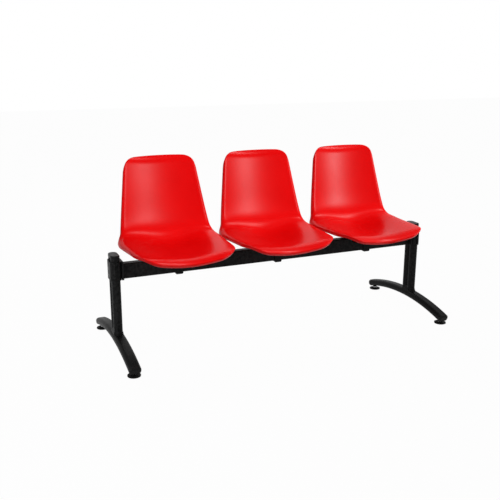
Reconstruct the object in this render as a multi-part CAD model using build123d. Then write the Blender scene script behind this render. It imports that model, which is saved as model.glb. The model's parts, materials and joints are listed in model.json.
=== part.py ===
from build123d import *
import math
import os

# Three-seat waiting bench: moulded bucket shells on a beam between two T-legs.
# Millimetres. +Z is up, a sitter faces -Y, and X runs along the beam. Left is the -X end.
# It is drawn with the beam over Y = 0 and saved with the origin on the floor, midway
# between the feet.

# Beam: rectangular steel tube between the two legs
beam_depth = 40.0
beam_height = 70.0
beam_wall = 2.0
beam_corner = 5.0
beam_bottom = 349.0

# Legs: two round tubes side by side form each column
leg_spread = 1588.0
tube_diameter = 40.0
tube_wall = 2.0
tube_gap = 0.5
column_over_beam = 32.0
column_cap_height = 12.0
column_cap_overhang = 0.6
column_cap_round = 4.0
column_cap_plug = 18.0
plug_clearance = 0.3

# Arched base tube of a leg, its centre line an arc of a circle
base_span = 600.0
base_shift = 20.0
arch_width = 54.0
arch_thickness = 35.0
arch_corner = 15.0
arch_wall = 2.5
arch_low = 37.0
arch_high = 78.0
arch_overhang = 19.0
end_cap_length = 11.0
end_cap_round = 10.0
end_cap_plug = 4.0
saddle_height = 24.0
saddle_flare = 17.0
saddle_spread = 9.0
saddle_side = 1.5

# Column clamp: two half shells round the tubes, bolted to a plate on the beam's end
clamp_wall = 5.0
clamp_split = 12.0
clamp_over_beam = 15.0
clamp_clearance = 0.1
end_plate_thickness = 8.0
end_plate_half_depth = 42.0
end_plate_corner = 6.0
clamp_bolt = 8.0
clamp_bolt_spacing = 30.0
bolt_clearance = 0.2
countersunk_head = 15.0
countersunk_depth = 3.5
socket_size = 5.0
socket_depth = 3.0

# Levelling feet
pad_diameter = 58.0
pad_edge = 4.5
pad_height = 8.5
pad_hub = 26.0
pad_floor = 3.0
stem_diameter = 10.0
stem_top = 48.0
stem_foot = 14.0
stem_foot_height = 4.0
stem_hex = 17.0
stem_hex_height = 4.0
foot_clearance = 0.3
boss_diameter = 20.0
boss_bottom = 14.5
boss_top = 32.0

# Seat supports under the shells
seat_names = ("left", "middle", "right")
seat_pitch = 500.0
support_length = 200.0
support_front = 115.0
support_rear = 105.0
support_thickness = 4.0
support_corner = 18.0
support_lip = 12.0
strap_width = 36.0
strap_thickness = 6.0
strap_chamfer = 4.0
strap_ear = 26.0
strap_clearance = 0.3
ear_gap = 0.7
strap_bolt = 8.0
hex_head_height = 5.5
hex_nut_height = 6.5
hex_flats = 13.0

# Seat shell: pan, back and the bend between them, in side view
pan_tilt = 3.5
back_recline = 11.6
bend_behind_beam = 176.0
bend_over_beam = 17.3
bend_depth = 38.0
draw_angle = 45.0

# Seat shell: outline, with distances from the bend along the mould's parting plane
front_half_width = 220.0
hip_half_width = 250.0
waist_half_width = 222.0
top_half_width = 171.0
front_reach = 261.0
hip_reach = 22.0
waist_reach = 58.0
top_reach = 339.0
front_bow = 14.0
top_bow = 28.0
front_corner = 80.0
hip_corner = 120.0
waist_corner = 160.0
top_corner = 78.0

# Seat shell: dish, rolled edges, rim and wall
pan_side_rise = 58.0
pan_front_fade = 0.45
pan_brim = 250.0
back_side_rise = 30.0
back_side_width = 200.0
blend_height = 12.0
blend_width = 38.0
front_roll = 60.0
front_roll_drop = 36.0
top_roll = 50.0
top_roll_drop = 22.0
side_roll = 27.0
side_roll_drop = 15.0
waist_roll = 41.0
skirt_depth = 20.0
rim_round = 9.0
shell_wall = 6.5
skirt_wall = 4.0
shell_boss = 22.0
screw_spread = 75.0
screw_front = 95.0
screw_rear = 85.0
screw_diameter = 6.0
screw_depth = 15.0
screw_head = 12.0
screw_head_height = 3.0
screw_clearance = 0.1

# Seat shell: grid that carries the sitting surface, across it in shares of the crest's half width
surface_margin = 26.0
flat_share = 0.8
roll_share = 0.87
surface_share = 1.35
flat_steps = 4
roll_steps = 8
slope_steps = 40

# Sizes that follow from the ones above
beam_top = beam_bottom + beam_height
beam_middle = beam_bottom + beam_height / 2
leg_x = leg_spread / 2
tube_radius = tube_diameter / 2
tube_offset = (tube_diameter + tube_gap) / 2
column_top = beam_top + column_over_beam
clamp_inside = tube_radius + clamp_clearance
clamp_reach = clamp_inside + clamp_wall
clamp_top = beam_top + clamp_over_beam
beam_half = leg_x - clamp_reach - end_plate_thickness
arch_rise = arch_high - arch_low
arch_radius = ((base_span / 2) ** 2 + arch_rise**2) / (2 * arch_rise)
arch_axis_z = arch_high - arch_radius
arch_end = math.asin(base_span / 2 / arch_radius) + arch_overhang / arch_radius
arch_top = arch_high + arch_thickness / 2
support_top = beam_top + support_thickness
strap_bolt_y = beam_depth / 2 + strap_clearance + strap_thickness + strap_ear / 2
sides = {"left": -1, "right": 1}
ends = {"front": -1, "rear": 1}

os.makedirs("parts", exist_ok=True)


def save(name, *solids):
    """Writes one node, a single solid or a group of separate ones."""
    shape = solids[0] if len(solids) == 1 else Compound([s.solid() for s in solids])
    export_step(Pos(0, -base_shift, 0) * shape, f"parts/{name}.step")


def post(x, y, z0, z1, diameter):
    """An upright cylinder from z0 to z1."""
    return Pos(x, y, z0) * extrude(Circle(diameter / 2), z1 - z0)


def pin(x0, x1, y, z, diameter):
    """A cylinder along X from x0 to x1."""
    start = Plane((x0, y, z), x_dir=(0, 1, 0), z_dir=(x1 - x0, 0, 0))
    return extrude(start * Circle(diameter / 2), abs(x1 - x0))


def prism(flats, z0, z1, x=0.0, y=0.0):
    """An upright hexagonal prism with the given width across flats."""
    return Pos(x, y, z0) * extrude(RegularPolygon(flats / math.sqrt(3), 6), z1 - z0)


def tube_pair(radius):
    """The oval round both tubes of a column, seen from above."""
    return Rot(0, 0, 90) * SlotCenterToCenter(2 * tube_offset, 2 * radius)


# Arched bases


def arch_section(shrink):
    return RectangleRounded(arch_width - 2 * shrink, arch_thickness - 2 * shrink, arch_corner - shrink)


def arch_plane(x, angle, outward):
    """The plane across the arch at an angle from its crown, looking outwards along the arc."""
    origin = (x, base_shift + arch_radius * math.sin(angle), arch_axis_z + arch_radius * math.cos(angle))
    along = (0, outward * math.cos(angle), -outward * math.sin(angle))
    return Plane(origin, x_dir=(1, 0, 0), z_dir=along)


def arch_solid(x, shrink):
    axis = Axis((x, base_shift, arch_axis_z), (1, 0, 0))
    section = arch_plane(x, arch_end, 1) * arch_section(shrink)
    return revolve(section, axis, 2 * math.degrees(arch_end))


def foot_y(end):
    return base_shift + ends[end] * base_span / 2


def base_arch(x):
    arch = arch_solid(x, 0) - arch_solid(x, arch_wall)
    for end in ends:
        arch -= post(x, foot_y(end), 0, arch_low, boss_diameter)
    return arch


def arch_cap(x, end):
    """A plug with a domed face in the open end of the arch."""
    plane = arch_plane(x, ends[end] * arch_end, ends[end])
    dome = extrude(arch_section(0), end_cap_length)
    dome = fillet(dome.faces().sort_by(Axis.Z)[-1].edges(), end_cap_round)
    plug = extrude(arch_section(arch_wall + plug_clearance), -end_cap_plug)
    return plane.location * (dome + plug)


def foot_boss(x, end):
    """Threaded bush in the underside of the arch."""
    y = foot_y(end)
    return post(x, y, boss_bottom, boss_top, boss_diameter) - post(
        x, y, boss_bottom, boss_top, stem_diameter + 2 * foot_clearance
    )


def foot_pad(x, end):
    """Round foot with a sloping top and a socket for the stem."""
    profile = Polyline(
        (0, 0),
        (pad_diameter / 2, 0),
        (pad_diameter / 2, pad_edge),
        (pad_hub / 2, pad_height),
        (0, pad_height),
        close=True,
    )
    pad = revolve(make_face(Plane.XZ * profile), Axis.Z)
    pad -= post(0, 0, pad_floor, pad_height, stem_foot + 2 * foot_clearance)
    return Pos(x, foot_y(end), 0) * pad


def foot_stem(x, end):
    """Threaded stem with a spanner hexagon, turning in the foot's socket."""
    foot_bottom = pad_floor + foot_clearance
    hex_bottom = pad_height + foot_clearance
    stem = post(0, 0, foot_bottom, foot_bottom + stem_foot_height, stem_foot)
    stem += post(0, 0, foot_bottom, stem_top, stem_diameter)
    stem += prism(stem_hex, hex_bottom, hex_bottom + stem_hex_height)
    return Pos(x, foot_y(end), 0) * stem


# Columns


def clamp_bolt_heights():
    return [beam_middle - clamp_bolt_spacing / 2, beam_middle + clamp_bolt_spacing / 2]


def bolt_holes(shape, x0, x1):
    for z in clamp_bolt_heights():
        shape -= pin(x0, x1, 0, z, clamp_bolt + 2 * bolt_clearance)
    return shape


def column_tube(x, end):
    y = ends[end] * tube_offset
    tube = post(x, y, arch_high, column_top, tube_diameter)
    tube -= post(x, y, arch_high, column_top, tube_diameter - 2 * tube_wall)
    tube -= arch_solid(x, 0)
    return bolt_holes(tube, x - tube_diameter, x + tube_diameter)


def column_cap(x):
    """One oval cap over both tubes, with a plug in each."""
    cap = extrude(tube_pair(tube_radius + column_cap_overhang), column_cap_height)
    cap = fillet(cap.faces().sort_by(Axis.Z)[-1].edges(), column_cap_round)
    for side in (-1, 1):
        plug = tube_diameter - 2 * tube_wall - 2 * plug_clearance
        cap += post(0, side * tube_offset, -column_cap_plug, 0, plug)
    return Pos(x, 0, column_top) * cap


def column_saddle(x):
    """Flared collar where the column stands on the arch."""
    flare = extrude(tube_pair(tube_radius + saddle_spread), arch_top + saddle_height - arch_high, taper=saddle_flare)
    flare = Pos(x, 0, arch_high) * flare
    span = 4 * tube_diameter
    flare &= Pos(x, 0, arch_high) * Box(2 * (tube_radius + saddle_side), span, span)
    for end in ends:
        flare -= post(x, ends[end] * tube_offset, arch_high, column_top, tube_diameter)
    return flare - arch_solid(x, 0)


# Clamps between the columns and the beam


def clamp_half(x, outward):
    """Half of the clamp: the outer half has outward along the bench, the inner half towards its middle."""
    ring = tube_pair(clamp_reach) - tube_pair(clamp_inside)
    keep = Pos(outward * (clamp_split / 2 + clamp_reach), 0) * Rectangle(2 * clamp_reach, 4 * clamp_reach)
    half = Pos(x, 0, beam_bottom) * extrude(ring & keep, clamp_top - beam_bottom)
    return bolt_holes(half, x, x + outward * clamp_reach)


def countersunk_cone(side, z, clearance):
    """The cone of a countersunk head, flush with the outer half of the clamp."""
    face_x = side * (leg_x + clamp_reach)
    start = Plane((face_x, 0, z), x_dir=(0, 1, 0), z_dir=(-side, 0, 0))
    circle = Circle(countersunk_head / 2 + clearance)
    return extrude(start * circle, countersunk_depth, taper=45)


def clamp_outer(side):
    half = clamp_half(side * leg_x, side)
    for z in clamp_bolt_heights():
        half -= countersunk_cone(side, z, bolt_clearance)
    return half


def end_plate(side):
    face_x = side * beam_half
    outer_x = side * (beam_half + end_plate_thickness)
    height = clamp_top - beam_bottom
    outline = RectangleRounded(2 * end_plate_half_depth, height, end_plate_corner)
    start = Plane((face_x, 0, beam_bottom + height / 2), x_dir=(0, 1, 0), z_dir=(side, 0, 0))
    return bolt_holes(extrude(start * outline, end_plate_thickness), face_x, outer_x)


def clamp_bolts(side):
    """Countersunk socket screws through the clamp, flush with its outer half."""
    head_x = side * (leg_x + clamp_reach)
    tip_x = side * (beam_half - hex_nut_height)
    bolts = []
    for z in clamp_bolt_heights():
        bolt = pin(tip_x, head_x, 0, z, clamp_bolt) + countersunk_cone(side, z, 0)
        socket = Plane((head_x, 0, z), x_dir=(0, 1, 0), z_dir=(-side, 0, 0))
        bolt -= extrude(socket * RegularPolygon(socket_size / math.sqrt(3), 6), socket_depth)
        bolts.append(bolt)
    return bolts


def clamp_nuts(side):
    """Nuts on the inner face of the end plate, inside the beam."""
    nuts = []
    for z in clamp_bolt_heights():
        start = Plane((side * beam_half, 0, z), x_dir=(0, 1, 0), z_dir=(-side, 0, 0))
        nut = extrude(start * RegularPolygon(hex_flats / math.sqrt(3), 6), hex_nut_height)
        nuts.append(nut - pin(0, side * leg_x, 0, z, clamp_bolt + 2 * bolt_clearance))
    return nuts


def beam():
    across = Plane((-beam_half, 0, beam_middle), x_dir=(0, 1, 0), z_dir=(1, 0, 0))
    outline = RectangleRounded(beam_depth, beam_height, beam_corner)
    bore = RectangleRounded(beam_depth - 2 * beam_wall, beam_height - 2 * beam_wall, beam_corner - beam_wall)
    return extrude(across * (outline - bore), 2 * beam_half)


# Seat supports


def screw_places(x):
    return [(x + s * screw_spread, y) for s in (-1, 1) for y in (-screw_front, screw_rear)]


def seat_support(x):
    """Pressed plate on top of the beam, with turned-down lips."""
    depth = support_front + support_rear
    middle_y = (support_rear - support_front) / 2
    outline = RectangleRounded(support_length, depth, support_corner)
    plate = extrude(Pos(0, middle_y) * outline, support_thickness)
    lip_length = support_rear - support_corner - strap_bolt_y
    for sx in (-1, 1):
        for end in (-1, 1):
            lip_x = sx * (support_length - support_thickness) / 2
            lip_y = end * (strap_bolt_y + lip_length / 2)
            plate += Pos(lip_x, lip_y, -support_lip / 2) * Box(support_thickness, lip_length, support_lip)
    for px, py in screw_places(0):
        plate -= post(px, py, 0, support_thickness, screw_diameter + 2 * screw_clearance)
    for end in (-1, 1):
        plate -= post(0, end * strap_bolt_y, 0, support_thickness, strap_bolt + 2 * bolt_clearance)
    return Pos(x, 0, beam_top) * plate


def seat_strap(x):
    """U-shaped strap under the beam, with ears that bolt up to the support."""
    inner = beam_depth / 2 + strap_clearance
    outer = inner + strap_thickness
    low = beam_bottom - strap_clearance - strap_thickness
    high = beam_top - ear_gap
    half = [
        (0, low),
        (outer, low),
        (outer, high - strap_thickness),
        (outer + strap_ear, high - strap_thickness),
        (outer + strap_ear, high),
        (inner, high),
        (inner, low + strap_thickness),
        (0, low + strap_thickness),
    ]
    section = make_face(Polyline(*half, close=True))
    section += mirror(section, Plane.YZ)
    across = Plane((x - strap_width / 2, 0, 0), x_dir=(0, 1, 0), z_dir=(1, 0, 0))
    strap = extrude(across * section, strap_width)
    lowest = strap.edges().filter_by(Axis.Y).group_by(Axis.Z)[0]
    strap = chamfer(lowest, strap_chamfer)
    for end in (-1, 1):
        strap -= post(x, end * strap_bolt_y, low, high, strap_bolt + 2 * bolt_clearance)
    return strap


def strap_bolts(x):
    """Hexagon-head bolts up through the ears and the support plate."""
    ear_bottom = beam_top - ear_gap - strap_thickness
    bolts = []
    for end in (-1, 1):
        y = end * strap_bolt_y
        head = prism(hex_flats, ear_bottom - hex_head_height, ear_bottom, x, y)
        bolts.append(head + post(x, y, ear_bottom, support_top + hex_nut_height, strap_bolt))
    return bolts


def strap_nuts(x):
    nuts = []
    for end in (-1, 1):
        y = end * strap_bolt_y
        nut = prism(hex_flats, support_top, support_top + hex_nut_height, x, y)
        nuts.append(nut - post(x, y, support_top, support_top + hex_nut_height, strap_bolt + 2 * bolt_clearance))
    return nuts


def seat_screws(x):
    """Pan-head screws from below into the shell's bosses."""
    screws = []
    for px, py in screw_places(x):
        head = post(px, py, beam_top - screw_head_height, beam_top, screw_head)
        screws.append(head + post(px, py, beam_top, support_top + screw_depth, screw_diameter))
    return screws


# Seat shell. It is drawn in the mould's frame: X across the seat, Y up the slope of the
# parting plane, Z along the draw towards the sitter.
draw_turn = math.radians(draw_angle)
draw_frame = Plane((0, 0, 0), x_dir=(1, 0, 0), z_dir=(0, -math.sin(draw_turn), math.cos(draw_turn)))
bend = draw_frame.to_local_coords(Vector(0, bend_behind_beam, beam_top + bend_over_beam))
pan_slope = -math.tan(draw_turn + math.radians(pan_tilt))
back_slope = math.tan(math.pi / 2 - draw_turn - math.radians(back_recline))
front_line = bend.Y - front_reach
top_line = bend.Y + top_reach


def back_share(along):
    """0 on the pan, 1 on the back, and between them in the bend."""
    return (1 + math.tanh((along - blend_height) / blend_width)) / 2


def width_between(along, start, end):
    """Half width on a straight line between two places given as (half width, distance from the bend)."""
    step = (along - start[1]) / (end[1] - start[1])
    return start[0] + (end[0] - start[0]) * step


def crest_width(along):
    """Half width of the crest, the line where the sides start to roll over towards the outline."""
    front = (front_half_width - side_roll, -front_reach)
    hip = (hip_half_width - side_roll, -hip_reach)
    waist = (waist_half_width - waist_roll, waist_reach)
    top = (top_half_width - side_roll, top_reach)
    share = back_share(along)
    return (1 - share) * width_between(along, front, hip) + share * width_between(along, waist, top)


def dish_height(x, t):
    """Height of the sitting surface along the draw, across the seat at x and up the slope at t."""
    along = t - bend.Y
    mean = (pan_slope + back_slope) / 2
    turn = (back_slope - pan_slope) / 2
    height = bend.Z + mean * along + math.hypot(turn * along, bend_depth)
    share = back_share(along)
    pan_side = pan_side_rise * math.sin(math.pi / 2 * x / pan_brim) ** 2
    pan_side *= 1 - pan_front_fade * (min(along, 0) / front_reach) ** 2
    back_side = back_side_rise * (x / back_side_width) ** 2
    height += (1 - share) * pan_side + share * back_side
    height -= side_roll_drop * (max(abs(x) - crest_width(along), 0) / side_roll) ** 2
    from_front = t - front_line + front_bow
    from_top = top_line + top_bow - t
    height -= front_roll_drop * max(1 - from_front / front_roll, 0) ** 2
    height -= top_roll_drop * max(1 - from_top / top_roll, 0) ** 2
    return height


def even_steps(low, high, count):
    return [low + (high - low) * i / count for i in range(count + 1)]


def dish_surface(drop):
    """The sitting surface, or one parallel to it along the draw, larger than the shell."""
    lowest = front_line - front_bow - surface_margin
    highest = top_line + top_bow + surface_margin
    up = even_steps(lowest, highest, slope_steps)
    half = even_steps(0, flat_share, flat_steps) + even_steps(roll_share, surface_share, roll_steps)
    grid = []
    for share in [-s for s in reversed(half[1:])] + half:
        widths = [share * crest_width(t - bend.Y) for t in up]
        grid.append([Vector(x, t, dish_height(x, t) - drop) for x, t in zip(widths, up)])
    return Face.make_surface_from_array_of_points(grid, tol=0.3, min_deg=3, max_deg=3)


def shell_outline(inset):
    """The shell's outline seen along the draw, with rounded corners at front, hips, waist and top."""
    right = [
        (front_half_width, front_line),
        (hip_half_width, bend.Y - hip_reach),
        (waist_half_width, bend.Y + waist_reach),
        (top_half_width, top_line),
    ]
    left = [(-x, t) for x, t in reversed(right)]
    edges = [ThreePointArc(left[-1], (0, front_line - front_bow), right[0])]
    edges += [Line(a, b) for a, b in zip(right, right[1:])]
    edges += [ThreePointArc(right[-1], (0, top_line + top_bow), left[0])]
    edges += [Line(a, b) for a, b in zip(left, left[1:])]
    face = make_face(edges)
    for (x, t), radius in zip(right, (front_corner, hip_corner, waist_corner, top_corner)):
        pair = [v for v in face.vertices() if math.isclose(abs(v.X), x) and math.isclose(v.Y, t)]
        face = fillet(pair, radius)
    return offset(face, -inset) if inset else face


def dish_block(inset, drop, depth):
    """The space of a given depth under the sitting surface, inside the outline."""
    slab = extrude(dish_surface(drop), depth, dir=(0, 0, -1))
    reach = 2 * (front_reach + top_reach)
    return slab & extrude(shell_outline(inset), reach)


def rounded_block(inset, drop, depth, radius):
    """A dish block with its upper rim rounded over."""
    block = dish_block(inset, drop, depth)
    largest = sorted(block.faces(), key=lambda f: f.area)[-2:]
    upper = max(largest, key=lambda f: f.center().Z)
    return fillet(upper.edges(), radius)


def seat_shell():
    outside = rounded_block(0, 0, skirt_depth, rim_round)
    hollow = rounded_block(skirt_wall, shell_wall, 4 * skirt_depth, rim_round - skirt_wall)
    shell = draw_frame.location * (outside - hollow)
    under = draw_frame.location * hollow
    for px, py in screw_places(0):
        boss = post(px, py, support_top, support_top + 4 * skirt_depth, shell_boss) & under
        bore = post(px, py, support_top, support_top + screw_depth, screw_diameter + 2 * screw_clearance)
        shell += boss - bore
    return shell


save("beam", beam())
for side_name, side in sides.items():
    x = side * leg_x
    save(f"beam_end_plate_{side_name}", end_plate(side))
    save(f"column_clamp_inner_{side_name}", clamp_half(x, -side))
    save(f"column_clamp_outer_{side_name}", clamp_outer(side))
    save(f"clamp_bolts_{side_name}", *clamp_bolts(side))
    save(f"clamp_nuts_{side_name}", *clamp_nuts(side))
    save(f"column_cap_{side_name}", column_cap(x))
    save(f"column_saddle_{side_name}", column_saddle(x))
    save(f"base_arch_{side_name}", base_arch(x))
    for end in ends:
        save(f"column_tube_{side_name}_{end}", column_tube(x, end))
        save(f"arch_cap_{side_name}_{end}", arch_cap(x, end))
        save(f"foot_boss_{side_name}_{end}", foot_boss(x, end))
        save(f"foot_pad_{side_name}_{end}", foot_pad(x, end))
        save(f"foot_stem_{side_name}_{end}", foot_stem(x, end))

shell = seat_shell()
for index, seat in enumerate(seat_names):
    x = (index - (len(seat_names) - 1) / 2) * seat_pitch
    save(f"seat_shell_{seat}", Pos(x, 0, 0) * shell)
    save(f"seat_support_{seat}", seat_support(x))
    save(f"seat_strap_{seat}", seat_strap(x))
    save(f"strap_bolts_{seat}", *strap_bolts(x))
    save(f"strap_nuts_{seat}", *strap_nuts(x))
    save(f"seat_screws_{seat}", *seat_screws(x))
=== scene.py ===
import bpy
import json
import math
from mathutils import Euler, Matrix, Vector


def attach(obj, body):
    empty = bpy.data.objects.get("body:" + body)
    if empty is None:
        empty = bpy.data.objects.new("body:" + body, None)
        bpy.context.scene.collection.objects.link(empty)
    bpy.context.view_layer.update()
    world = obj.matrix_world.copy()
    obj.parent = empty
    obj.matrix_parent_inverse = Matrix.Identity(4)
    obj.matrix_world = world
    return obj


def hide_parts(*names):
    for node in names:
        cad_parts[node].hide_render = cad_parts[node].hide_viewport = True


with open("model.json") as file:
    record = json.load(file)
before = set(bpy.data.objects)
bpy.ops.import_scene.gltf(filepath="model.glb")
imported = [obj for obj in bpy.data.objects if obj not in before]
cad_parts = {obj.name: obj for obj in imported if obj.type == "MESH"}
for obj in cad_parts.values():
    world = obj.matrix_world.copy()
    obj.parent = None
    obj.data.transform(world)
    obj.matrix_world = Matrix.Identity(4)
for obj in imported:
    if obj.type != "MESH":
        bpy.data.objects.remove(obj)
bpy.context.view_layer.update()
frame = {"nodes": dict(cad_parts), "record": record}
MM = 0.001
SEATS = ("left", "middle", "right")


# Places taken from the frame, in millimetres


def node_box(node):
    """Lowest and highest corner of a CAD node."""
    obj = frame["nodes"][node]
    corners = [(obj.matrix_world @ Vector(corner)) / MM for corner in obj.bound_box]
    axes = list(zip(*corners))
    return Vector([min(axis) for axis in axes]), Vector([max(axis) for axis in axes])


BEAM_LOW, BEAM_HIGH = node_box("beam")
BEAM_Y = (BEAM_LOW.y + BEAM_HIGH.y) / 2
BEAM_TOP = BEAM_HIGH.z
SUPPORTS = {seat: node_box(f"seat_support_{seat}") for seat in SEATS}
SEAT_X = {seat: (low.x + high.x) / 2 for seat, (low, high) in SUPPORTS.items()}
SUPPORT_TOP = SUPPORTS["middle"][1].z


# Seat shell: frame of the mould, in millimetres, with x across the seat, t up the slope of the
# parting plane and n along the draw towards the sitter. The shell follows its solid, with the
# narrower rim, rounder front corners and hips, sharper waist and softer bend that the photo shows.

DRAW_ANGLE = math.radians(45.0)


def to_mould(y, z):
    """The t and n of a point at height z that lies y behind the beam's middle."""
    t = y * math.cos(DRAW_ANGLE) + z * math.sin(DRAW_ANGLE)
    n = z * math.cos(DRAW_ANGLE) - y * math.sin(DRAW_ANGLE)
    return t, n


def to_world(x, t, n, shift):
    """From the mould's frame to metres in the row frame."""
    y = t * math.cos(DRAW_ANGLE) - n * math.sin(DRAW_ANGLE) + BEAM_Y
    z = t * math.sin(DRAW_ANGLE) + n * math.cos(DRAW_ANGLE)
    return Vector(((x + shift) * MM, y * MM, z * MM))


# Seat shell: pan, back and the bend between them, which gets narrower towards its sides

PAN_TILT = math.radians(3.5)
BACK_RECLINE = math.radians(11.6)
BEND_BEHIND_BEAM = 176.0
BEND_OVER_BEAM = 17.3
BEND_WIDTH = 82.0
BEND_SIDES = 26.0
PAN_SLOPE = -math.tan(DRAW_ANGLE + PAN_TILT)
BACK_SLOPE = math.tan(math.pi / 2 - DRAW_ANGLE - BACK_RECLINE)
BEND_T, BEND_N = to_mould(BEND_BEHIND_BEAM, BEAM_TOP + BEND_OVER_BEAM)


# Seat shell: outline


class Corner:
    """A corner on the outline's side.

    reach is its distance from the bend along t, and roll how far inside it the side starts to roll over.
    """

    def __init__(self, half_width, reach, radius, roll):
        self.half_width = half_width
        self.reach = reach
        self.radius = radius
        self.roll = roll


FRONT = Corner(half_width=219.0, reach=-261.0, radius=110.0, roll=9.0)
HIP = Corner(half_width=250.0, reach=-14.0, radius=150.0, roll=16.0)
WAIST = Corner(half_width=220.0, reach=46.0, radius=70.0, roll=11.0)
TOP = Corner(half_width=171.0, reach=339.0, radius=84.0, roll=6.0)
CORNERS = (FRONT, HIP, WAIST, TOP)
FRONT_BOW = 14.0
TOP_BOW = 28.0
FRONT_EDGE = BEND_T + FRONT.reach - FRONT_BOW
TOP_EDGE = BEND_T + TOP.reach + TOP_BOW


# Seat shell: rise of the sides, and the dip of the rim at the waist

PAN_SIDE_RISE = 58.0
PAN_FRONT_FADE = 0.45
PAN_BRIM = 250.0
BACK_SIDE_RISE = 30.0
BACK_SIDE_WIDTH = 200.0
BLEND_HEIGHT = 12.0
BLEND_WIDTH = 38.0
WAIST_DIP = 10.0
WAIST_DIP_WIDTH = 225.0
WAIST_DIP_POWER = 8
WAIST_DIP_HEIGHT = 22.0
WAIST_DIP_LENGTH = 38.0


# Seat shell: rolled edges, wall, rim and the skirt that is turned down from it

FRONT_ROLL = 60.0
FRONT_ROLL_DROP = 36.0
TOP_ROLL = 50.0
TOP_ROLL_DROP = 22.5
SIDE_SLOPE = 0.8
SIDE_EDGE = 3.0
RIM = 6.0
WALL = 6.5
SKIRT = 20.0
SKIRT_FADE = 0.65
SKIRT_WALL = 4.0
SKIRT_BEVEL_INSET = 0.5
SKIRT_BEVEL_RISE = 1.0
INNER_ROUND = RIM - SKIRT_WALL
LIP = WALL + INNER_ROUND


# Seat shell: bosses, with the flare's steps as extra radius and height from the boss's top

SCREW_SPREAD = 75.0
SCREW_FRONT = 95.0
SCREW_REAR = 85.0
HOLE_RADIUS = 3.1
HOLE_DEPTH = 15.0
HOLE_BEVEL = 0.6
BOSS_RADIUS = 11.0
BOSS_BEVEL = 0.7
BOSS_SINK = 1.0
BOSS_FLARE = ((0.0, -3.0), (1.2, -1.0), (2.0, 1.5))


# Seat shell: steps of the mesh across and up the dish, along the outline, and round the rim and bosses

ACROSS = 48
UP = 84
OUTLINE_STEPS = 60
RIM_STEPS = 8
INNER_STEPS = 6
OUTER_LOOPS = (0.6, 0.8)
INNER_LOOP = 0.7
BOSS_STEPS = 40
CLIMB_STEP = 0.25
SOLVER_STEPS = 12


def back_share(along):
    """0 on the pan, 1 on the back, and between them in the bend."""
    return (1 + math.tanh((along - BLEND_HEIGHT) / BLEND_WIDTH)) / 2


def crest_line(start, end, along):
    """Half width of the crest on the straight line through two corners."""
    first, last = start.half_width - start.roll, end.half_width - end.roll
    return first + (last - first) / (end.reach - start.reach) * (along - start.reach)


def crest_width(along):
    """Half width of the crest, the line where the sides start to roll over towards the outline."""
    back = back_share(along)
    return (1 - back) * crest_line(FRONT, HIP, along) + back * crest_line(WAIST, TOP, along)


def dish_height(x, t):
    """Height of the sitting surface along the draw."""
    along = t - BEND_T
    back = back_share(along)
    mean = (PAN_SLOPE + BACK_SLOPE) / 2
    turn = (BACK_SLOPE - PAN_SLOPE) / 2
    width = BEND_WIDTH - BEND_SIDES * (x / WAIST.half_width) ** 2
    height = BEND_N + mean * along + turn * width * math.log(2 * math.cosh(along / width))
    dip = WAIST_DIP * (x / WAIST_DIP_WIDTH) ** WAIST_DIP_POWER
    height -= dip * math.exp(-(((along - WAIST_DIP_HEIGHT) / WAIST_DIP_LENGTH) ** 2))
    fade = 1 - PAN_FRONT_FADE * (min(along, 0) / FRONT.reach) ** 2
    height += (1 - back) * fade * PAN_SIDE_RISE * math.sin(math.pi / 2 * x / PAN_BRIM) ** 2
    height += back * BACK_SIDE_RISE * (x / BACK_SIDE_WIDTH) ** 2
    past = abs(x) - crest_width(along)
    height -= SIDE_SLOPE * (past + math.hypot(past, SIDE_EDGE)) / 2
    height -= FRONT_ROLL_DROP * max(1 - (t - FRONT_EDGE) / FRONT_ROLL, 0) ** 2
    height -= TOP_ROLL_DROP * max(1 - (TOP_EDGE - t) / TOP_ROLL, 0) ** 2
    return height


class Edge:
    """A straight or bowed side of the outline, with its distance measured inwards."""

    def __init__(self, start, end, centre=None):
        self.start, self.end = Vector(start), Vector(end)
        self.centre = Vector(centre) if centre else None
        along = (self.end - self.start).normalized()
        self.inward = Vector((-along.y, along.x))
        self.radius = (self.start - self.centre).length if centre else 0.0

    def distance(self, p):
        if self.centre:
            return self.radius - (p - self.centre).length
        return (p - self.start).dot(self.inward)

    def slope(self, p):
        """Direction in which the distance grows."""
        if self.centre:
            return (self.centre - p).normalized()
        return self.inward

    def run(self, a, b):
        """Points along the edge from a to b."""
        if self.centre:
            return arc_points(self.centre, a, b)
        return [a.lerp(b, i / OUTLINE_STEPS) for i in range(OUTLINE_STEPS + 1)]


def arc_points(centre, a, b):
    """Points along the shorter arc from a to b."""
    start = math.atan2(a.y - centre.y, a.x - centre.x)
    end = math.atan2(b.y - centre.y, b.x - centre.x)
    sweep = (end - start + math.pi) % (2 * math.pi) - math.pi
    radius = (a - centre).length
    angles = [start + sweep * i / OUTLINE_STEPS for i in range(OUTLINE_STEPS + 1)]
    return [centre + radius * Vector((math.cos(g), math.sin(g))) for g in angles]


def round_corner(first, second, radius, convex):
    """Centre and the two touching points of a rounded corner between two edges."""
    wanted = radius if convex else -radius
    p = first.end.copy()
    for step in range(SOLVER_STEPS):
        g1, g2 = first.slope(p), second.slope(p)
        e1, e2 = wanted - first.distance(p), wanted - second.distance(p)
        det = g1.x * g2.y - g1.y * g2.x
        p += Vector(((e1 * g2.y - e2 * g1.y) / det, (g1.x * e2 - g2.x * e1) / det))
    return p, p - wanted * first.slope(p), p - wanted * second.slope(p)


def bow_radius(half_width, bow):
    return (half_width**2 + bow**2) / (2 * bow)


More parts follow.
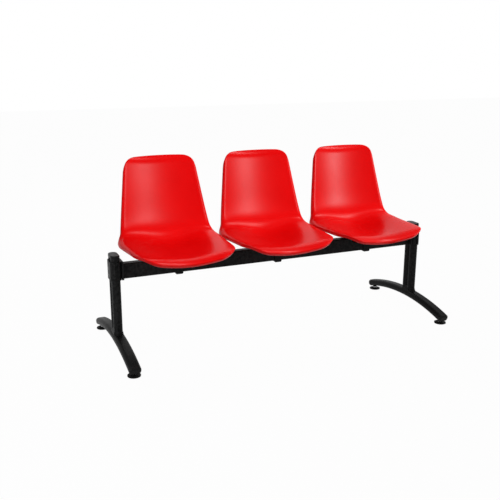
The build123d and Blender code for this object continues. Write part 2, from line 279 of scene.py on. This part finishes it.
def half_outline():
    """The right half from front to top, with the places of its front and top corner in the list."""
    sharp = [(corner.half_width, BEND_T + corner.reach) for corner in CORNERS]
    front_centre = (0, FRONT_EDGE + bow_radius(FRONT.half_width, FRONT_BOW))
    top_centre = (0, TOP_EDGE - bow_radius(TOP.half_width, TOP_BOW))
    edges = [Edge((0, FRONT_EDGE), sharp[0], front_centre)]
    edges += [Edge(a, b) for a, b in zip(sharp, sharp[1:])]
    edges.append(Edge(sharp[-1], (0, TOP_EDGE), top_centre))
    points, middles = [], []
    here = edges[0].start
    for first, second, corner in zip(edges, edges[1:], CORNERS):
        centre, a, b = round_corner(first, second, corner.radius, convex=corner is not WAIST)
        points += first.run(here, a)[:-1]
        middles.append(len(points) + OUTLINE_STEPS // 2)
        points += arc_points(centre, a, b)[:-1]
        here = b
    points += edges[-1].run(here, edges[-1].end)
    return points, middles[0], middles[-1]


def even_steps(points, count):
    """The same line with count even steps."""
    lengths = [0.0]
    for a, b in zip(points, points[1:]):
        lengths.append(lengths[-1] + (b - a).length)
    result = []
    i = 0
    for k in range(count + 1):
        s = lengths[-1] * k / count
        while i < len(points) - 2 and lengths[i + 1] < s:
            i += 1
        f = (s - lengths[i]) / (lengths[i + 1] - lengths[i])
        result.append(points[i].lerp(points[i + 1], f))
    return result


def outline_ring():
    """Even points all round the outline: front, right side, top, left side."""
    half, front_corner, top_corner = half_outline()
    front = even_steps(half[: front_corner + 1], ACROSS // 2)
    side = even_steps(half[front_corner : top_corner + 1], UP)
    top = even_steps(half[top_corner:], ACROSS // 2)
    right = front[:-1] + side[:-1] + top
    left = [Vector((-p.x, p.y)) for p in reversed(right[1:-1])]
    return right + left


def outward(ring):
    """Directions that point out of a ring of points."""
    normals = []
    for i in range(len(ring)):
        along = ring[(i + 1) % len(ring)] - ring[i - 1]
        normals.append(Vector((along.y, -along.x)).normalized())
    return normals


def four_sides(ring):
    """Front, right, top and left of a ring, each from left to right or from front to top."""
    half = ACROSS // 2
    front = [ring[i] for i in range(-half, half + 1)]
    right = ring[half : half + UP + 1]
    top = [ring[half + UP + ACROSS - i] for i in range(ACROSS + 1)]
    left = [ring[len(ring) - half - i] for i in range(UP + 1)]
    return front, right, top, left


def inner_rows(ring):
    """Rows of points inside a ring, blended from its four sides."""
    front, right, top, left = four_sides(ring)
    rows = []
    for j in range(1, UP):
        v = j / UP
        row = []
        for i in range(1, ACROSS):
            u = i / ACROSS
            p = (1 - v) * front[i] + v * top[i] + (1 - u) * left[j] + u * right[j]
            p -= (1 - u) * (1 - v) * front[0] + u * (1 - v) * front[-1]
            p -= (1 - u) * v * top[0] + u * v * top[-1]
            row.append(p)
        rows.append(row)
    return rows


def rim_profile():
    """Inset from the outline and drop below the surface: over the rim, down the skirt and up inside it."""
    profile = []
    for step in range(RIM_STEPS + 1):
        turn = math.pi / 2 * step / RIM_STEPS
        profile.append((RIM * (1 - math.sin(turn)), RIM * (1 - math.cos(turn))))
    bevel = SKIRT - SKIRT_BEVEL_RISE
    profile += [(0.0, SKIRT * share) for share in OUTER_LOOPS]
    profile += [(0.0, bevel), (SKIRT_BEVEL_INSET, SKIRT)]
    profile += [(SKIRT_WALL - SKIRT_BEVEL_INSET, SKIRT), (SKIRT_WALL, bevel)]
    profile += [(SKIRT_WALL, SKIRT * INNER_LOOP), (SKIRT_WALL, LIP)]
    for step in range(1, INNER_STEPS + 1):
        turn = math.pi / 2 * step / INNER_STEPS
        inset = SKIRT_WALL + INNER_ROUND * (1 - math.cos(turn))
        profile.append((inset, WALL + INNER_ROUND * (1 - math.sin(turn))))
    return profile


def skirt_share(t):
    """Depth of the rim's skirt, 1 round the pan and less up the back."""
    return 1 - SKIRT_FADE * min(max((t - BEND_T) / TOP.reach, 0.0), 1.0)


class ShellMesh:
    """Vertices and faces of one shell, closed all round, in the mould's frame."""

    def __init__(self):
        self.verts, self.faces = [], []
        self.outline = outline_ring()
        self.normals = outward(self.outline)
        rings = [self.add_ring(inset, drop) for inset, drop in rim_profile()]
        for a, b in zip(rings, rings[1:]):
            self.join(a, b)
        self.fill(rings[0], RIM, 0.0, upwards=True)
        self.fill(rings[-1], SKIRT_WALL + INNER_ROUND, WALL, upwards=False)

    def inside(self, inset):
        """The outline's points, moved inwards."""
        return [p - inset * out for p, out in zip(self.outline, self.normals)]

    def add_point(self, p, drop):
        self.verts.append((p.x, p.y, dish_height(p.x, p.y) - drop))
        return len(self.verts) - 1

    def add_ring(self, inset, drop):
        """A ring of vertices. Only the part of the skirt below the lip gets shallower up the back."""
        fixed, fading = min(drop, LIP), max(drop - LIP, 0.0)
        return [self.add_point(p, fixed + fading * skirt_share(p.y)) for p in self.inside(inset)]

    def join(self, a, b):
        """A band of faces between two rings."""
        for i in range(len(a)):
            k = (i + 1) % len(a)
            self.faces.append((a[i], b[i], b[k], a[k]))

    def fill(self, border, inset, drop, upwards):
        """A grid of faces inside a ring of vertices."""
        front, right, top, left = four_sides(border)
        grid = [front]
        for j, row in enumerate(inner_rows(self.inside(inset)), start=1):
            grid.append([left[j], *[self.add_point(p, drop) for p in row], right[j]])
        grid.append(top)
        for low, high in zip(grid, grid[1:]):
            for i in range(ACROSS):
                quad = (low[i], low[i + 1], high[i + 1], high[i])
                self.faces.append(quad if upwards else quad[::-1])


def boss_top(x, y):
    """Height at which a boss has gone a little way into the shell's underside."""
    z = SUPPORT_TOP
    t, n = to_mould(y, z)
    while dish_height(x, t) - WALL > n:
        z += CLIMB_STEP
        t, n = to_mould(y, z)
    return z + BOSS_SINK


def boss_mesh(x, y):
    """A moulded boss with a screw hole, from the support plate up into the shell's underside."""
    foot, top = SUPPORT_TOP, boss_top(x, y)
    profile = [(HOLE_RADIUS, foot + HOLE_DEPTH), (HOLE_RADIUS, foot + HOLE_BEVEL)]
    profile += [(HOLE_RADIUS + HOLE_BEVEL, foot), (BOSS_RADIUS - BOSS_BEVEL, foot)]
    profile.append((BOSS_RADIUS, foot + BOSS_BEVEL))
    profile += [(BOSS_RADIUS + wider, top + higher) for wider, higher in BOSS_FLARE]
    verts, faces = [], []
    for r, z in profile:
        for k in range(BOSS_STEPS):
            g = 2 * math.pi * k / BOSS_STEPS
            verts.append((x + r * math.cos(g), y + r * math.sin(g), z))
    for row in range(len(profile) - 1):
        a, b = row * BOSS_STEPS, (row + 1) * BOSS_STEPS
        for k in range(BOSS_STEPS):
            m = (k + 1) % BOSS_STEPS
            faces.append((a + k, a + m, b + m, b + k))
    last = (len(profile) - 1) * BOSS_STEPS
    faces.append(tuple(reversed(range(BOSS_STEPS))))
    faces.append(tuple(range(last, last + BOSS_STEPS)))
    return verts, faces


def make_object(name, verts, faces):
    mesh = bpy.data.meshes.new(name)
    mesh.from_pydata(verts, [], faces)
    mesh.validate()
    mesh.shade_smooth()
    obj = bpy.data.objects.new(name, mesh)
    bpy.context.scene.collection.objects.link(obj)
    return obj


def build_shells(material):
    """One shell with its four bosses on each seat."""
    mould = ShellMesh()
    bosses = [boss_mesh(x, y) for x in (-SCREW_SPREAD, SCREW_SPREAD) for y in (-SCREW_FRONT, SCREW_REAR)]
    shells = {}
    for seat, shift in SEAT_X.items():
        verts = [to_world(x, t, n, shift) for x, t, n in mould.verts]
        faces = list(mould.faces)
        for boss_verts, boss_faces in bosses:
            first = len(verts)
            verts += [Vector(((x + shift) * MM, (y + BEAM_Y) * MM, z * MM)) for x, y, z in boss_verts]
            faces += [tuple(first + v for v in face) for face in boss_faces]
        obj = make_object(f"shell_{seat}", verts, faces)
        obj.data.materials.append(material)
        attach(obj, "bench")
        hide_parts(f"seat_shell_{seat}")
        shells[seat] = obj
    return shells


# Materials, with the depth of their grain in metres

GRAIN_DEPTH = 0.0001


class Nodes:
    """Small helper for a material's node tree."""

    def __init__(self, name):
        self.material = bpy.data.materials.new(name)
        self.material.use_nodes = True
        self.tree = self.material.node_tree
        self.shader = self.tree.nodes["Principled BSDF"]
        self.place = self.tree.nodes.new("ShaderNodeTexCoord").outputs["Object"]

    def link(self, a, b):
        self.tree.links.new(a, b)

    def set(self, socket, value):
        self.shader.inputs[socket].default_value = value

    def noise(self, scale, detail=3.0, rough=0.5, stretch=None):
        """Noise in the object's own frame, squeezed along z where a stretch is given."""
        node = self.tree.nodes.new("ShaderNodeTexNoise")
        node.inputs["Scale"].default_value = scale
        node.inputs["Detail"].default_value = detail
        node.inputs["Roughness"].default_value = rough
        place = self.place
        if stretch:
            mapping = self.tree.nodes.new("ShaderNodeMapping")
            mapping.inputs["Scale"].default_value = (1.0, 1.0, stretch)
            self.link(place, mapping.inputs["Vector"])
            place = mapping.outputs["Vector"]
        self.link(place, node.inputs["Vector"])
        return node.outputs["Fac"]

    def spread(self, source, low, high, lowest=0.3, highest=0.7):
        """The source's range from lowest to highest, spread from low to high."""
        node = self.tree.nodes.new("ShaderNodeMapRange")
        node.inputs["From Min"].default_value = lowest
        node.inputs["From Max"].default_value = highest
        node.inputs["To Min"].default_value = low
        node.inputs["To Max"].default_value = high
        self.link(source, node.inputs["Value"])
        return node.outputs["Result"]

    def mix(self, share):
        node = self.tree.nodes.new("ShaderNodeMix")
        node.data_type = "RGBA"
        self.link(share, node.inputs["Factor"])
        return node

    def tones(self, dark, light, scale, detail=3.0):
        """Colour that drifts between two tones."""
        node = self.mix(self.spread(self.noise(scale, detail), 0.0, 1.0))
        node.inputs["A"].default_value = (*dark, 1.0)
        node.inputs["B"].default_value = (*light, 1.0)
        return node.outputs["Result"]

    def wear(self, colour, paler, start, full, scale, share):
        """The colour with paler patches along convex edges, between two levels of pointiness."""
        geometry = self.tree.nodes.new("ShaderNodeNewGeometry")
        edges = self.spread(geometry.outputs["Pointiness"], 0.0, 1.0, start, full)
        times = self.tree.nodes.new("ShaderNodeMath")
        times.operation = "MULTIPLY"
        self.link(edges, times.inputs[0])
        self.link(self.spread(self.noise(scale), 0.0, share), times.inputs[1])
        node = self.mix(times.outputs["Value"])
        self.link(colour, node.inputs["A"])
        node.inputs["B"].default_value = (*paler, 1.0)
        return node.outputs["Result"]

    def colour(self, source):
        self.link(source, self.shader.inputs["Base Color"])

    def gloss(self, low, high, **noise):
        """Roughness that drifts between two values."""
        self.link(self.spread(self.noise(**noise), low, high), self.shader.inputs["Roughness"])

    def grain(self, strength, **noise):
        """Fine relief of the surface."""
        node = self.tree.nodes.new("ShaderNodeBump")
        node.inputs["Strength"].default_value = strength
        node.inputs["Distance"].default_value = GRAIN_DEPTH
        self.link(self.noise(**noise), node.inputs["Height"])
        self.link(node.outputs["Normal"], self.shader.inputs["Normal"])


def seat_red():
    n = Nodes("seat_red")
    colour = n.tones((0.668, 0.0012, 0.0016), (0.712, 0.0021, 0.0026), scale=9.0, detail=4.0)
    n.colour(n.wear(colour, (0.86, 0.035, 0.035), start=0.53, full=0.62, scale=60.0, share=0.35))
    n.gloss(0.255, 0.27, scale=35.0, detail=5.0)
    n.set("Specular IOR Level", 0.05)
    n.grain(0.05, scale=1400.0, detail=2.0, rough=0.6)
    return n.material


def frame_black():
    n = Nodes("frame_black")
    colour = n.tones((0.0050, 0.0050, 0.0051), (0.0066, 0.0065, 0.0064), scale=14.0, detail=4.0)
    n.colour(n.wear(colour, (0.055, 0.055, 0.056), start=0.54, full=0.66, scale=90.0, share=0.5))
    n.gloss(0.38, 0.43, scale=40.0, detail=5.0)
    n.set("Specular IOR Level", 0.05)
    n.grain(0.02, scale=1100.0, detail=2.0)
    return n.material


def black_plastic(name, smoothest, roughest, grain):
    n = Nodes(name)
    colour = n.tones((0.0055, 0.0055, 0.0055), (0.0095, 0.0095, 0.0094), scale=25.0)
    n.colour(n.wear(colour, (0.06, 0.06, 0.06), start=0.54, full=0.66, scale=120.0, share=0.6))
    n.gloss(smoothest, roughest, scale=55.0, detail=4.0)
    n.set("Specular IOR Level", 0.1)
    n.grain(0.08, scale=grain, rough=0.6)
    return n.material


def bolt_black():
    n = Nodes("bolt_black")
    n.colour(n.tones((0.012, 0.012, 0.013), (0.030, 0.030, 0.032), scale=180.0, detail=4.0))
    n.gloss(0.28, 0.42, scale=220.0)
    n.set("Metallic", 0.6)
    n.grain(0.15, scale=1800.0, detail=2.0)
    return n.material


def zinc_steel():
    n = Nodes("zinc_steel")
    n.colour(n.tones((0.42, 0.43, 0.44), (0.62, 0.63, 0.63), scale=150.0, detail=5.0))
    n.gloss(0.26, 0.42, scale=400.0, stretch=8.0)
    n.set("Metallic", 1.0)
    n.grain(0.12, scale=1600.0, detail=2.0, stretch=10.0)
    return n.material


def build_materials():
    """Materials by the name of their slot in the record."""
    return {
        "seat_red": seat_red(),
        "frame_black": frame_black(),
        "cap_black": black_plastic("cap_black", smoothest=0.37, roughest=0.48, grain=900.0),
        "pad_black": black_plastic("pad_black", smoothest=0.53, roughest=0.64, grain=600.0),
        "bolt_black": bolt_black(),
        "zinc_steel": zinc_steel(),
    }


def dress_nodes(materials):
    """Puts each CAD node's material on its slots."""
    for entry in frame["record"]["subparts"]:
        obj = frame["nodes"][entry["node"]]
        for slot in obj.material_slots:
            slot.material = materials[entry["material_slot"]]


# Floor and world, in metres. The floor shows white, and a small share of its own shading for the shadow.

FLOOR_HALF = 14.0
FLOOR_TONE = (0.9, 0.9, 0.9, 1.0)
FLOOR_WHITE = 0.975
WHITE = (1.0, 1.0, 1.0, 1.0)
WORLD_LIGHT = 0.20


def seen_rays(nodes, links):
    """1 for rays that see the backdrop directly or in a reflection, 0 for those that carry its light."""
    rays = nodes.new("ShaderNodeLightPath")
    total = rays.outputs["Is Camera Ray"]
    for name in ("Is Glossy Ray", "Is Transmission Ray"):
        either = nodes.new("ShaderNodeMath")
        either.operation = "MAXIMUM"
        links.new(total, either.inputs[0])
        links.new(rays.outputs[name], either.inputs[1])
        total = either.outputs["Value"]
    return total


def floor_pale():
    material = bpy.data.materials.new("floor_pale")
    material.use_nodes = True
    nodes, links = material.node_tree.nodes, material.node_tree.links
    shader = nodes["Principled BSDF"]
    shader.inputs["Base Color"].default_value = FLOOR_TONE
    shader.inputs["Roughness"].default_value = 0.9
    shader.inputs["Specular IOR Level"].default_value = 0.1
    glow = nodes.new("ShaderNodeEmission")
    glow.inputs["Strength"].default_value = 1.0
    share = nodes.new("ShaderNodeMath")
    share.operation = "MULTIPLY"
    share.inputs[1].default_value = FLOOR_WHITE
    mix = nodes.new("ShaderNodeMixShader")
    links.new(seen_rays(nodes, links), share.inputs[0])
    links.new(share.outputs["Value"], mix.inputs["Fac"])
    links.new(shader.outputs["BSDF"], mix.inputs[1])
    links.new(glow.outputs["Emission"], mix.inputs[2])
    links.new(mix.outputs["Shader"], nodes["Material Output"].inputs["Surface"])
    return material


def build_floor():
    mesh = bpy.data.meshes.new("floor")
    corners = [(-1, -1), (1, -1), (1, 1), (-1, 1)]
    mesh.from_pydata([(x * FLOOR_HALF, y * FLOOR_HALF, 0) for x, y in corners], [], [(0, 1, 2, 3)])
    mesh.materials.append(floor_pale())
    obj = bpy.data.objects.new("floor", mesh)
    bpy.context.scene.collection.objects.link(obj)


def build_world():
    world = bpy.data.worlds.new("studio")
    bpy.context.scene.world = world
    world.use_nodes = True
    nodes, links = world.node_tree.nodes, world.node_tree.links
    level = nodes.new("ShaderNodeMapRange")
    level.inputs["To Min"].default_value = WORLD_LIGHT
    level.inputs["To Max"].default_value = 1.0
    links.new(seen_rays(nodes, links), level.inputs["Value"])
    back = nodes["Background"]
    back.inputs["Color"].default_value = WHITE
    links.new(level.outputs["Result"], back.inputs["Strength"])


# Lamps, in metres and watts. A key and a fill light the whole bench. Each shell also has a softbox for
# the highlight on its back and a strip for the one in its bend, which the photo shows at the same place
# on all three seats. Both are linked to that shell alone and stronger on the seats further away.

SEAT_LEVEL = {"left": 1.0, "middle": 1.15, "right": 1.3}
SOFTBOX_X = {"left": 0.78, "middle": 1.6, "right": 2.5}
SOFTBOX_Y, SOFTBOX_Z = -2.4, 1.5
SOFTBOX_AIM_Y, SOFTBOX_AIM_Z = 0.2, 0.65
SOFTBOX_SIZE = (0.36, 0.5)
SOFTBOX_POWER = 4.8
STRIP_X = {"left": 0.6, "middle": 1.2, "right": 1.8}
STRIP_Y, STRIP_Z = -0.4, 2.4
STRIP_AIM_Y, STRIP_AIM_Z = 0.1, 0.46
STRIP_SIZE = (0.8, 0.34)
STRIP_POWER = 23.0


def lamp(name, place, target, size, power):
    data = bpy.data.lights.new(name, "AREA")
    data.shape = "RECTANGLE"
    data.size, data.size_y = size
    data.energy = power
    obj = bpy.data.objects.new(name, data)
    obj.location = place
    obj.rotation_euler = (Vector(target) - Vector(place)).to_track_quat("-Z", "Y").to_euler()
    bpy.context.scene.collection.objects.link(obj)
    return obj


def softbox(seat):
    x, middle = SOFTBOX_X[seat], SEAT_X[seat] * MM
    reach = math.hypot(x - middle, SOFTBOX_AIM_Y - SOFTBOX_Y)
    return lamp(
        f"softbox_{seat}",
        place=(x, SOFTBOX_Y, SOFTBOX_Z),
        target=(middle, SOFTBOX_AIM_Y, SOFTBOX_AIM_Z),
        size=SOFTBOX_SIZE,
        power=SOFTBOX_POWER * SEAT_LEVEL[seat] * reach**2,
    )


def strip(seat):
    return lamp(
        f"strip_{seat}",
        place=(STRIP_X[seat], STRIP_Y, STRIP_Z),
        target=(SEAT_X[seat] * MM, STRIP_AIM_Y, STRIP_AIM_Z),
        size=STRIP_SIZE,
        power=STRIP_POWER * SEAT_LEVEL[seat],
    )


def build_lamps(shells):
    lamp("key", place=(-3.2, -1.9, 1.5), target=(0.0, 0.0, 0.5), size=(1.8, 1.6), power=38.0)
    lamp("fill", place=(0.4, 2.6, 3.2), target=(0.0, 0.2, 0.6), size=(2.4, 1.6), power=26.0)
    for seat, shell in shells.items():
        group = bpy.data.collections.new(f"lit_{seat}")
        group.objects.link(shell)
        for light in (softbox(seat), strip(seat)):
            light.light_linking.receiver_collection = group


# Camera, solved from the photo: place in metres, angles in degrees, focal length in the photo's pixels

PHOTO_WIDTH = 500.0
FOCAL_PIXELS = 727.7
SENSOR_WIDTH = 36.0
CAMERA_PLACE = (-1.4815, -3.089, 1.3336)
CAMERA_DOWN = 15.392
CAMERA_TURN = -23.645
CAMERA_ROLL = 0.189


def build_camera():
    data = bpy.data.cameras.new("camera")
    data.sensor_width = SENSOR_WIDTH
    data.lens = FOCAL_PIXELS / PHOTO_WIDTH * SENSOR_WIDTH
    obj = bpy.data.objects.new("camera", data)
    obj.location = CAMERA_PLACE
    aim = Euler((math.radians(90.0 - CAMERA_DOWN), 0.0, math.radians(CAMERA_TURN))).to_matrix()
    roll = Matrix.Rotation(math.radians(CAMERA_ROLL), 3, "Z")
    obj.rotation_euler = (aim @ roll).to_euler()
    bpy.context.scene.collection.objects.link(obj)
    bpy.context.scene.camera = obj


materials = build_materials()
dress_nodes(materials)
shells = build_shells(materials["seat_red"])
build_floor()
build_world()
build_lamps(shells)
build_camera()
bpy.context.scene.view_settings.view_transform = "Standard"
